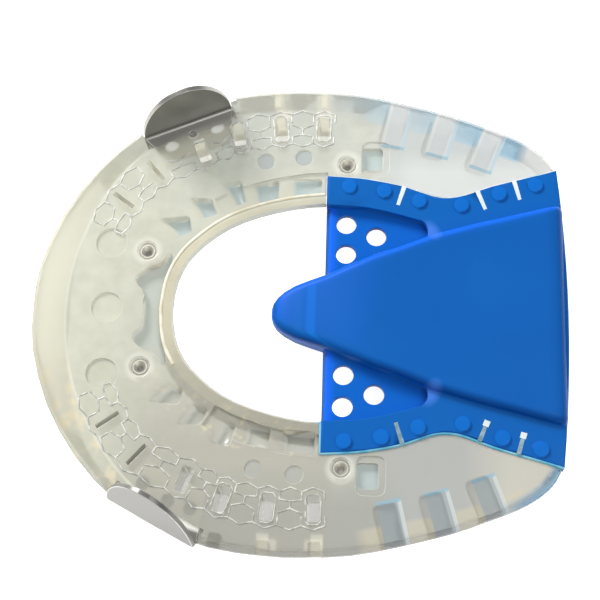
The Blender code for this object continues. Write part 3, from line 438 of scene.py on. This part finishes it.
def linear(code):
    """An sRGB hex colour as linear red, green, blue and alpha."""
    shares = [int(code[place : place + 2], 16) / 255 for place in (1, 3, 5)]
    return (*[s / 12.92 if s <= 0.04045 else ((s + 0.055) / 1.055) ** 2.4 for s in shares], 1)


def add(tree, kind, inputs=None, stops=(), **settings):
    """Adds a shader node; an input is a value or the socket that feeds it, stops are a ramp's colours."""
    made = tree.nodes.new(f"ShaderNode{kind}")
    for name, value in settings.items():
        setattr(made, name, value)
    for name, value in (inputs or {}).items():
        if isinstance(value, bpy.types.NodeSocket):
            tree.links.new(value, made.inputs[name])
        else:
            made.inputs[name].default_value = value
    for index, (place, code) in enumerate(stops):
        element = made.color_ramp.elements[index] if index < 2 else made.color_ramp.elements.new(place)
        element.position = place
        element.color = linear(code)
    return made


def new_material(name, values):
    """A material with plain values on its shader, and the places of its surface in mm."""
    made = bpy.data.materials.new(name)
    made.use_nodes = True
    tree = made.node_tree
    shader = tree.nodes["Principled BSDF"]
    for socket, value in values.items():
        shader.inputs[socket].default_value = value
    metres = add(tree, "TexCoord").outputs["Object"]
    place = add(tree, "VectorMath", {0: metres, "Scale": 1 / MM}, operation="SCALE").outputs["Vector"]
    return made, tree, shader, place


def joined(tree, operation, parts):
    """Numbers or sockets joined in turn by one operation."""
    whole, *others = parts
    for other in others:
        whole = add(tree, "Math", {0: whole, 1: other}, operation=operation).outputs[0]
    return whole


def size_of(tree, value):
    """A value without its sign."""
    return joined(tree, "MAXIMUM", [value, joined(tree, "MULTIPLY", [value, -1])])


def share_of(tree, at, part):
    """One share of a finish, given as in the tables."""
    if isinstance(part, str):
        return at[part]
    if isinstance(part, list):
        return joined(tree, "MAXIMUM", [share_of(tree, at, choice) for choice in part])
    if isinstance(part, tuple):
        measure, empty, full, *ends = part
        low, high = ends or (0, 1)
        values = {"Value": at[measure], "From Min": empty, "From Max": full, "To Min": low, "To Max": high}
        return add(tree, "MapRange", values).outputs["Result"]
    return part


def product(tree, at, parts):
    """Some shares of a finish multiplied."""
    return joined(tree, "MULTIPLY", [share_of(tree, at, part) for part in parts])


def tinted(tree, at, colour, tints):
    """Tints laid over a colour in turn, each by the product of its shares."""
    for code, *parts in tints.values():
        mix = {0: product(tree, at, parts), 6: colour, 7: linear(code)}
        colour = add(tree, "Mix", mix, data_type="RGBA").outputs[2]
    return colour


def stance(centre, turn, sizes):
    """Settings that measure a place in plan from a centre, turned, and in shares of two sizes."""
    return {"Location": (*centre, 0), "Rotation": (0, 0, math.radians(turn)), "Scale": (*sizes, 1)}


def measured(tree, place, *names):
    """What a finish is measured by: coordinates, the distance from the middle, and the distances
    from the nearest centres of the places named."""
    axes = add(tree, "SeparateXYZ", {"Vector": place}).outputs
    at = {"x": axes["X"], "y": axes["Y"], "z": axes["Z"], "far": size_of(tree, axes["Y"])}
    for name in names:
        aside, centres, turn, sizes = PLACES[name]
        plan = add(tree, "CombineXYZ", {"X": at["x"], "Y": at[aside]}).outputs["Vector"]
        away = []
        for centre in centres:
            values = {"Vector": plan, **stance(centre, turn, sizes)}
            seen = add(tree, "Mapping", values, vector_type="TEXTURE").outputs["Vector"]
            away.append(add(tree, "VectorMath", {0: seen}, operation="LENGTH").outputs["Value"])
        at[name] = joined(tree, "MINIMUM", away)
    return at


def softened(tree, radius):
    """Normals with softened edges, and how flat the surface is, which is less on its edges."""
    soft = add(tree, "Bevel", {"Radius": radius}, samples=SOFT_SAMPLES).outputs["Normal"]
    plain = add(tree, "NewGeometry").outputs["Normal"]
    same = add(tree, "VectorMath", {0: soft, 1: plain}, operation="DOT_PRODUCT").outputs["Value"]
    return soft, size_of(tree, same)


def paint_glow(material, code, strength):
    """Gives a finish a faint painted glow, which stands in for the light it holds, and keeps it from counting
    as a lamp.
    """
    shader = material.node_tree.nodes["Principled BSDF"]
    shader.inputs["Emission Color"].default_value = linear(code)
    material.node_tree.links.new(strength, shader.inputs["Emission Strength"])
    material.cycles.emission_sampling = "NONE"


# Finishes


def add_grooves(tree, at):
    """Adds where the traction grooves under the heels show: their roofs, inner ends, rear walls and
    front walls, and the lands between them."""
    aside = size_of(tree, joined(tree, "ADD", [at["y"], GROOVE_SHIFT]))
    plan = add(tree, "CombineXYZ", {"X": at["x"], "Y": aside}).outputs["Vector"]
    grooves = []
    for centre, turn in GROOVES:
        values = {"Vector": plan, **stance(centre, turn, GROOVE_HALVES)}
        seen = add(tree, "Mapping", values, vector_type="TEXTURE").outputs["Vector"]
        axes = add(tree, "SeparateXYZ", {"Vector": seen}).outputs
        groove = {"across": axes["X"], "wide": size_of(tree, axes["X"])}
        groove["inward"] = joined(tree, "MULTIPLY", [axes["Y"], -1])
        groove["reach"] = joined(tree, "MAXIMUM", [groove["wide"], groove["inward"]])
        grooves.append(groove)
    for name, parts in GROOVE_SHARES.items():
        at[name] = joined(tree, "MAXIMUM", [product(tree, groove, parts) for groove in grooves])


def body_measures(tree, place):
    """What the finish of the body is measured by: places, the way and the side that the surface
    faces, the distance from the opening, patterns and grooves."""
    at = measured(tree, place, *BODY_PLACES, *CLIP_PLACES)
    surface = add(tree, "NewGeometry").outputs
    at["inside"] = surface["Backfacing"]
    at["facing"] = add(tree, "SeparateXYZ", {"Vector": surface["Normal"]}).outputs["Z"]
    beyond = joined(tree, "SUBTRACT", [at["opening"], 1])
    at["inset"] = joined(tree, "MULTIPLY", [beyond, OPENING_SIZES[1]])
    for name, stations in STATIONS.items():
        gaps = [joined(tree, "SUBTRACT", [at["x"], station]) for station in stations]
        at[name] = joined(tree, "MINIMUM", [size_of(tree, gap) for gap in gaps])
    for name, (size, detail) in BODY_PATTERNS.items():
        values = {"Vector": place, "Scale": 1 / size, "Detail": detail}
        at[name] = add(tree, "TexNoise", values).outputs["Fac"]
    add_grooves(tree, at)
    return at


def clear_urethane():
    """Clear urethane, cast in a polished mould: glossy and see-through, with a faint milky haze,
    creamy painted light where the toe is thin, cool painted shade in the pockets and grooves,
    painted blue light from the plate near the heels, painted highlights along its edges and a
    painted glow in its walls."""
    values = {"Roughness": 0.26, "IOR": 1.5, "Transmission Weight": 0.42, "Specular IOR Level": 0.3}
    material, tree, shader, place = new_material("clear_cast_urethane", values)
    at = body_measures(tree, place)
    soft, at["flatness"] = softened(tree, BODY_SOFTNESS)
    for name, parts in BODY_SHARES.items():
        at[name] = product(tree, at, parts)
    along = joined(tree, "ADD", [share_of(tree, at, row) for row in HAZE_ROWS])
    haze = add(tree, "ValToRGB", {"Fac": along}, stops=BODY_HAZE).outputs["Color"]
    veil = add(tree, "ValToRGB", {"Fac": at["flecks"]}, stops=BODY_VEIL).outputs["Color"]
    mix = {0: 1, 6: haze, 7: veil}
    colour = add(tree, "Mix", mix, data_type="RGBA", blend_type="MULTIPLY").outputs[2]
    tree.links.new(tinted(tree, at, colour, BODY_TINTS), shader.inputs["Base Color"])
    tree.links.new(soft, shader.inputs["Normal"])
    tree.links.new(share_of(tree, at, CLEARNESS), shader.inputs["Transmission Weight"])
    paint_glow(material, BODY_GLOW_TINT, share_of(tree, at, BODY_GLOWS))
    return material


def thin_urethane(name, dull, bright, size):
    """Thin ribs and beads of the cast urethane: they fill with light in places, and look nearly
    white there."""
    values = {"Roughness": 0.22, "IOR": 1.5, "Transmission Weight": 0.1}
    material, tree, shader, place = new_material(name, values)
    patches = add(tree, "TexNoise", {"Vector": place, "Scale": 1 / size}).outputs["Fac"]
    stops = tuple(zip(THIN_STOPS, (dull, bright)))
    colour = add(tree, "ValToRGB", {"Fac": patches}, stops=stops).outputs["Color"]
    tree.links.new(colour, shader.inputs["Base Color"])
    return material


def blue_urethane():
    """Dyed urethane from a fine-blasted mould: a deep satin blue, brighter where light enters its
    upper edges and thin webs, and darker on the flanks turned away."""
    values = {"Roughness": 0.38, "IOR": 1.5, "Specular IOR Level": 0.1}
    material, tree, shader, place = new_material("blue_moulded_urethane", values)
    at = measured(tree, place, "dish")
    clouds = add(tree, "TexNoise", {"Vector": place, "Scale": 1 / PLATE_CLOUDS}).outputs["Fac"]
    colour = add(tree, "ValToRGB", {"Fac": clouds}, stops=PLATE_BLUES).outputs["Color"]
    soft, at["flatness"] = softened(tree, PLATE_SOFTNESS)
    turned = add(tree, "Bevel", {"Radius": LIT_RADIUS}, samples=LIT_SAMPLES).outputs["Normal"]
    lit = add(tree, "VectorMath", {0: turned, 1: LIT_SIDE}, operation="DOT_PRODUCT")
    at["lit"] = lit.outputs["Value"]
    for name, parts in PLATE_SHARES.items():
        at[name] = product(tree, at, parts)
    grain = add(tree, "TexNoise", {"Vector": place, "Scale": 1 / PLATE_GRAIN}).outputs["Fac"]
    values = {"Height": grain, "Distance": PLATE_GRAIN_DEPTH, "Strength": BUMP_STRENGTH, "Normal": soft}
    tree.links.new(tinted(tree, at, colour, PLATE_TINTS), shader.inputs["Base Color"])
    tree.links.new(add(tree, "Bump", values).outputs["Normal"], shader.inputs["Normal"])
    return material


def rolled_steel():
    """Rolled stainless sheet, pressed to shape: grey, with fine rolling lines and painted highlights on
    its sheared edges, paler where the urethane holds it, with painted light and a faint painted glow
    on the held base, and with painted shade on the lower clip."""
    material, tree, shader, place = new_material("rolled_stainless_sheet", {"Roughness": 0.4})
    at = measured(tree, place, "toe_circle")
    stretched = add(tree, "Mapping", {"Vector": place, "Scale": ROLLING_STRETCH}).outputs["Vector"]
    values = {"Vector": stretched, "Scale": 1 / ROLLING_LINES, "Detail": ROLLING_DETAIL}
    lines = add(tree, "TexNoise", values).outputs["Fac"]
    colour = add(tree, "ValToRGB", {"Fac": lines}, stops=SHEET_GREYS).outputs["Color"]
    soft, at["flatness"] = softened(tree, CLIP_SOFTNESS)
    for name, parts in CLIP_SHARES.items():
        at[name] = product(tree, at, parts)
    values = {"Height": lines, "Distance": ROLLING_DEPTH, "Strength": BUMP_STRENGTH, "Normal": soft}
    tree.links.new(tinted(tree, at, colour, CLIP_TINTS), shader.inputs["Base Color"])
    tree.links.new(add(tree, "Bump", values).outputs["Normal"], shader.inputs["Normal"])
    tree.links.new(share_of(tree, at, CLIP_METAL), shader.inputs["Metallic"])
    paint_glow(material, STEEL_GLOW_TINT, product(tree, at, ("blasted", CLIP_GLOW)))
    return material


def turned_steel():
    """Stainless bar turned on a lathe and tumbled: a soft pale rim, and a bore with painted shade
    that darkens downwards and a faint painted glow.
    """
    material, tree, shader, place = new_material("turned_stainless_bar", {"Metallic": 0.7, "Roughness": 0.45})
    at = measured(tree, place)
    marks = add(tree, "TexNoise", {"Vector": place, "Scale": 1 / TURNING_MARKS}).outputs["Fac"]
    colour = add(tree, "ValToRGB", {"Fac": marks}, stops=BAR_GREYS).outputs["Color"]
    tree.links.new(tinted(tree, at, colour, BORE_TINTS), shader.inputs["Base Color"])
    paint_glow(material, STEEL_GLOW_TINT, product(tree, at, (BORE, BORE_GLOW)))
    return material


# Pieces


def placed(made, material, slot, *nodes):
    """Gives a piece its finish and hangs it on the shoe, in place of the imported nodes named."""
    made.data.materials.clear()
    made.data.materials.append(material)
    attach(made, "root")
    if nodes:
        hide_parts(*nodes)
    return made


def add_mesh(name, shape):
    mesh = bpy.data.meshes.new(name)
    shape.to_mesh(mesh)
    shape.free()
    made = bpy.data.objects.new(name, mesh)
    bpy.context.scene.collection.objects.link(made)
    return made


def skin(node, material, slot):
    """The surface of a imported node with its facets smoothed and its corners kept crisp."""
    shape = bmesh.new()
    shape.from_mesh(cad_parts[node].data)
    bmesh.ops.remove_doubles(shape, verts=shape.verts, dist=MERGE_DISTANCE)
    flat = math.radians(FLAT_ANGLE)
    bmesh.ops.dissolve_limit(shape, angle_limit=flat, verts=shape.verts, edges=shape.edges)
    made = add_mesh(f"{node}_skin", shape)
    made.data.shade_smooth()
    made.data.set_sharp_from_angle(angle=math.radians(FACET_ANGLE))
    even = made.modifiers.new("even_shading", "WEIGHTED_NORMAL")
    even.keep_sharp = True
    return placed(made, material, slot, node)


def smooth_line(points, steps):
    """Points along a smooth curve through the given ones."""
    first = 2 * points[0] - points[1]
    last = 2 * points[-1] - points[-2]
    knots = [first, *points, last]
    line = []
    for a, b, c, d in zip(knots, knots[1:], knots[2:], knots[3:]):
        for step in range(steps):
            t = step / steps
            cubic = 2 * b + t * (c - a) + t**2 * (2 * a - 5 * b + 4 * c - d)
            line.append((cubic + t**3 * (3 * b - a - 3 * c + d)) / 2)
    return [*line, points[-1]]


def in_metres(points):
    return [Vector(point) * MM for point in points]


def outwards(line, step):
    """The direction in plan across a line at one of its points, away from the shoe's middle."""
    ahead = line[min(step + 1, len(line) - 1)] - line[max(step - 1, 0)]
    across = Vector((-ahead.y, ahead.x)).normalized()
    return across if across.dot(line[step]) > 0 else -across


def ribs(name, lines, radius, closed=False):
    """Thin round ribs along lines of places, as one curve."""
    data = bpy.data.curves.new(name, "CURVE")
    data.dimensions = "3D"
    data.bevel_depth = radius
    data.bevel_resolution = RIB_RESOLUTION
    data.use_fill_caps = True
    for line in lines:
        spline = data.splines.new("POLY")
        spline.points.add(len(line) - 1)
        spline.use_cyclic_u = closed
        for point, place in zip(spline.points, line):
            point.co = (*place, 1)
    made = bpy.data.objects.new(name, data)
    bpy.context.scene.collection.objects.link(made)
    return made


def honeycomb_lines(side):
    """The ribs of the honeycomb on one branch: two combs and a fork between each two slots."""
    line = smooth_line(in_metres(NAIL_LINE), LINE_STEPS)

    def at(step, across):
        place = line[step] + outwards(line, step) * across
        return (place.x, side * place.y, HOOF_PLANE)

    steps = range(COMB_FIRST_STEP, COMB_LAST_STEP + 1)
    for comb in (OUTER_COMB, INNER_COMB):
        under_clip = range(*CLIP_STEPS[side]) if comb is OUTER_COMB and CLIP_STEPS[side] else ()
        for step, after in zip(steps, steps[1:]):
            if step in under_clip or after in under_clip:
                continue
            yield [at(edge, comb["corner" if edge % 2 else "peak"]) for edge in (step, after)]
        for step in steps:
            if step % 2 and step not in under_clip:
                yield [at(step, comb["corner"]), at(step, comb["foot"])]
    for step in steps:
        if step % LINE_STEPS == LINE_STEPS / 2:
            yield [at(step, across) for across in STEM_ENDS]
            for beside in (step - 1, step + 1):
                yield [at(step, STEM_ENDS[1]), at(beside, FORK_TIP)]
                yield [at(step, STEM_ENDS[0]), at(beside, INNER_COMB["foot"])]


def cut_corners(length, width, cut):
    """A rectangle about its middle with its corners cut."""
    long, wide = length / 2, width / 2
    corners = ((long - cut, wide), (long, wide - cut), (long, cut - wide), (long - cut, -wide))
    return [*corners, *[(-a, -b) for a, b in corners]]


def slot_rims(side):
    """Closed rims round the wide nail slots of one branch, but not round the clip's."""
    line = smooth_line(in_metres(NAIL_LINE), LINE_STEPS)
    for slot in range(RIMMED_SLOTS):
        step = (slot + 1) * LINE_STEPS
        outward = outwards(line, step)
        along = Vector((-outward.y, outward.x))
        loop = cut_corners(SLOT_LENGTH, SLOT_WIDTH, SLOT_CORNER)
        places = [line[step] + outward * a + along * b for a, b in loop]
        yield [(place.x, side * place.y, HOOF_PLANE) for place in places]


def opening_bead():
    """The raised bead that follows the edge of the opening round the toe."""
    half = smooth_line(in_metres(OPENING_EDGE), LINE_STEPS)
    moved = [point + outwards(half, step) * BEAD_INSET for step, point in enumerate(half)]
    moved[0] = Vector((moved[0].x, 0))
    lower = [(x, -y) for x, y in moved[1:] if y < BEAD_LOWER_END]
    places = [*reversed(lower), *[(x, y) for x, y in moved]]
    return [[(x, y, HOOF_PLANE - BEAD_DROP) for x, y in places]]


def plate_seam(side):
    """The line of clear urethane that wells up along the plate's front and outer edge."""
    edge = [*in_metres([PLATE_CORNER]), *smooth_line(in_metres(PLATE_EDGE), LINE_STEPS)]
    return [[(x, side * y, HOOF_PLANE) for x, y in edge]]


def slits(side):
    """The mouth and the inner end of each slit in the plate's flange on one side."""
    line = smooth_line(in_metres(PLATE_EDGE), LINE_STEPS)
    for station in SLIT_STATIONS:
        step = min(range(len(line)), key=lambda index: abs(line[index].x - station))
        before, after = line[max(step - 1, 0)], line[min(step + 1, len(line) - 1)]
        near = before if abs(before.x - station) < abs(after.x - station) else after
        share = (station - line[step].x) / (near.x - line[step].x)
        mouth = line[step].lerp(near, share)
        end = mouth - outwards(line, step) * SLIT_LENGTH
        yield Vector((mouth.x, side * mouth.y)), Vector((end.x, side * end.y))


def bars(name, lines, high):
    """Flat-topped bars between pairs of places in plan, with a width at either end."""
    shape = bmesh.new()
    for (first, wide), (last, narrow) in lines:
        ahead = (last - first).normalized()
        across = Vector((-ahead.y, ahead.x))
        plan = [first + across * wide / 2, first - across * wide / 2]
        plan += [last - across * narrow / 2, last + across * narrow / 2]
        bottom = [shape.verts.new((*point, HOOF_PLANE - SLIT_DEPTH)) for point in plan]
        top = [shape.verts.new((*point, high)) for point in plan]
        shape.faces.new(bottom)
        shape.faces.new(top)
        for index in range(len(plan)):
            after = (index + 1) % len(plan)
            shape.faces.new((bottom[index], bottom[after], top[after], top[index]))
    bmesh.ops.recalc_face_normals(shape, faces=shape.faces)
    return add_mesh(name, shape)


def slit_fins(name, side):
    """Clear urethane that fills the plate's slits and laps over their edges."""
    lines = [((mouth, SLIT_MOUTH), (end, SLIT_END)) for mouth, end in slits(side)]
    return bars(name, lines, PLATE_TOP + SLIT_CROWN)


def slit_ends(name, side):
    """Square holes at the inner ends of the two rear slits, full of clear urethane."""
    lines = []
    for mouth, end in [*slits(side)][1:]:
        back = (mouth - end).normalized() * SLIT_HOLE
        lines.append(((end, SLIT_HOLE), (end + back, SLIT_HOLE)))
    return bars(name, lines, PLATE_TOP + 2 * SLIT_CROWN)


# Floor, lights and camera


def white_floor():
    """A sheet of white paper that looks pure white, and is shaded close under the shoe."""
    values = {"Base Color": linear(FLOOR_TINT), "Roughness": 0.9, "Specular IOR Level": 0}
    values["Emission Color"] = linear(WHITE)
    material, tree, shader, place = new_material("white_paper", values)
    at = measured(tree, place, "opening", "outline", "notch")
    ray = add(tree, "LightPath").outputs
    at["camera"] = ray["Is Camera Ray"]
    at["glossy"] = ray["Is Glossy Ray"]
    at["passing"] = ray["Is Transmission Ray"]
    for name, parts in FLOOR_SHARES.items():
        at[name] = product(tree, at, parts)
    tree.links.new(at["white"], shader.inputs["Emission Strength"])
    shape = bmesh.new()
    bmesh.ops.create_grid(shape, x_segments=1, y_segments=1, size=FLOOR_REACH)
    made = add_mesh("floor", shape)
    made.location.z = -FLOOR_GAP
    made.data.materials.append(material)
    made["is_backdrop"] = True


def lamp(name, place, size, power):
    """A round soft lamp aimed at the shoe."""
    data = bpy.data.lights.new(name, "AREA")
    data.shape = "DISK"
    data.size = size
    data.energy = power
    made = bpy.data.objects.new(name, data)
    bpy.context.scene.collection.objects.link(made)
    made.location = place
    made.rotation_euler = (-Vector(place)).to_track_quat("-Z", "Y").to_euler()


def white_room():
    """Even white light from all round, which the camera sees as white."""
    world = bpy.data.worlds.new("white_room")
    bpy.context.scene.world = world
    world.use_nodes = True
    tree = world.node_tree
    background = tree.nodes["Background"]
    background.inputs["Color"].default_value = linear(WHITE)
    at = {"camera": add(tree, "LightPath").outputs["Is Camera Ray"]}
    tree.links.new(share_of(tree, at, ROOM_STRENGTH), background.inputs["Strength"])


def camera():
    """The camera of the photograph, turned, tilted and rolled about a place on the shoe."""
    data = bpy.data.cameras.new("camera")
    data.lens = LENS
    data.sensor_width = SENSOR
    data.clip_start = CAMERA_NEAR
    made = bpy.data.objects.new("camera", data)
    bpy.context.scene.collection.objects.link(made)
    turn = Matrix.Rotation(math.radians(CAMERA_TURN), 4, "Z")
    tilt = Matrix.Rotation(math.radians(CAMERA_TILT), 4, "X")
    roll = Matrix.Rotation(math.radians(CAMERA_ROLL), 4, "Z")
    back = Matrix.Translation((0, 0, CAMERA_DISTANCE))
    made.matrix_world = Matrix.Translation(TARGET) @ turn @ tilt @ roll @ back
    return made


# Whole scene

clear = clear_urethane()
combs = {label: thin_urethane(*finish) for label, finish in RIB_FINISHES.items()}
cream = thin_urethane(*BEAD_FINISH)
seams = {label: thin_urethane(*finish) for label, finish in SEAM_FINISHES.items()}
fins = {label: thin_urethane(*finish) for label, finish in FIN_FINISHES.items()}
sheet_steel = rolled_steel()
bar_steel = turned_steel()
skin("shoe_body", clear, "clear_urethane")
skin("frog_plate", blue_urethane(), "blue_urethane")
for node in CLIP_NODES:
    skin(node, sheet_steel, "clip_steel")
for node in INSERT_NODES:
    skin(node, bar_steel, "insert_steel")
placed(ribs("opening_bead", opening_bead(), BEAD_RADIUS), cream, "clear_urethane")
for label, side in SIDES.items():
    placed(ribs(f"honeycomb_{label}", honeycomb_lines(side), RIB_RADIUS), combs[label], "clear_urethane")
    placed(ribs(f"slot_rims_{label}", slot_rims(side), RIM_RADIUS, True), combs[label], "clear_urethane")
    seam = ribs(f"plate_seam_{label}", plate_seam(side), SEAM_RADIUS[label])
    placed(seam, seams[label], "clear_urethane")
    placed(slit_fins(f"slit_fins_{label}", side), fins[label], "clear_urethane")
placed(slit_ends("slit_ends_left", SIDES["left"]), fins["right"], "clear_urethane")
white_floor()
white_room()
for name, (place, size, power) in LAMPS.items():
    lamp(name, place, size, power)
bpy.context.scene.camera = camera()
bpy.context.scene.view_settings.view_transform = "Standard"

({
        name: [list(corner) for corner in box]
        for name, box in (("cad", cad_box), ("visual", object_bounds()))
    })
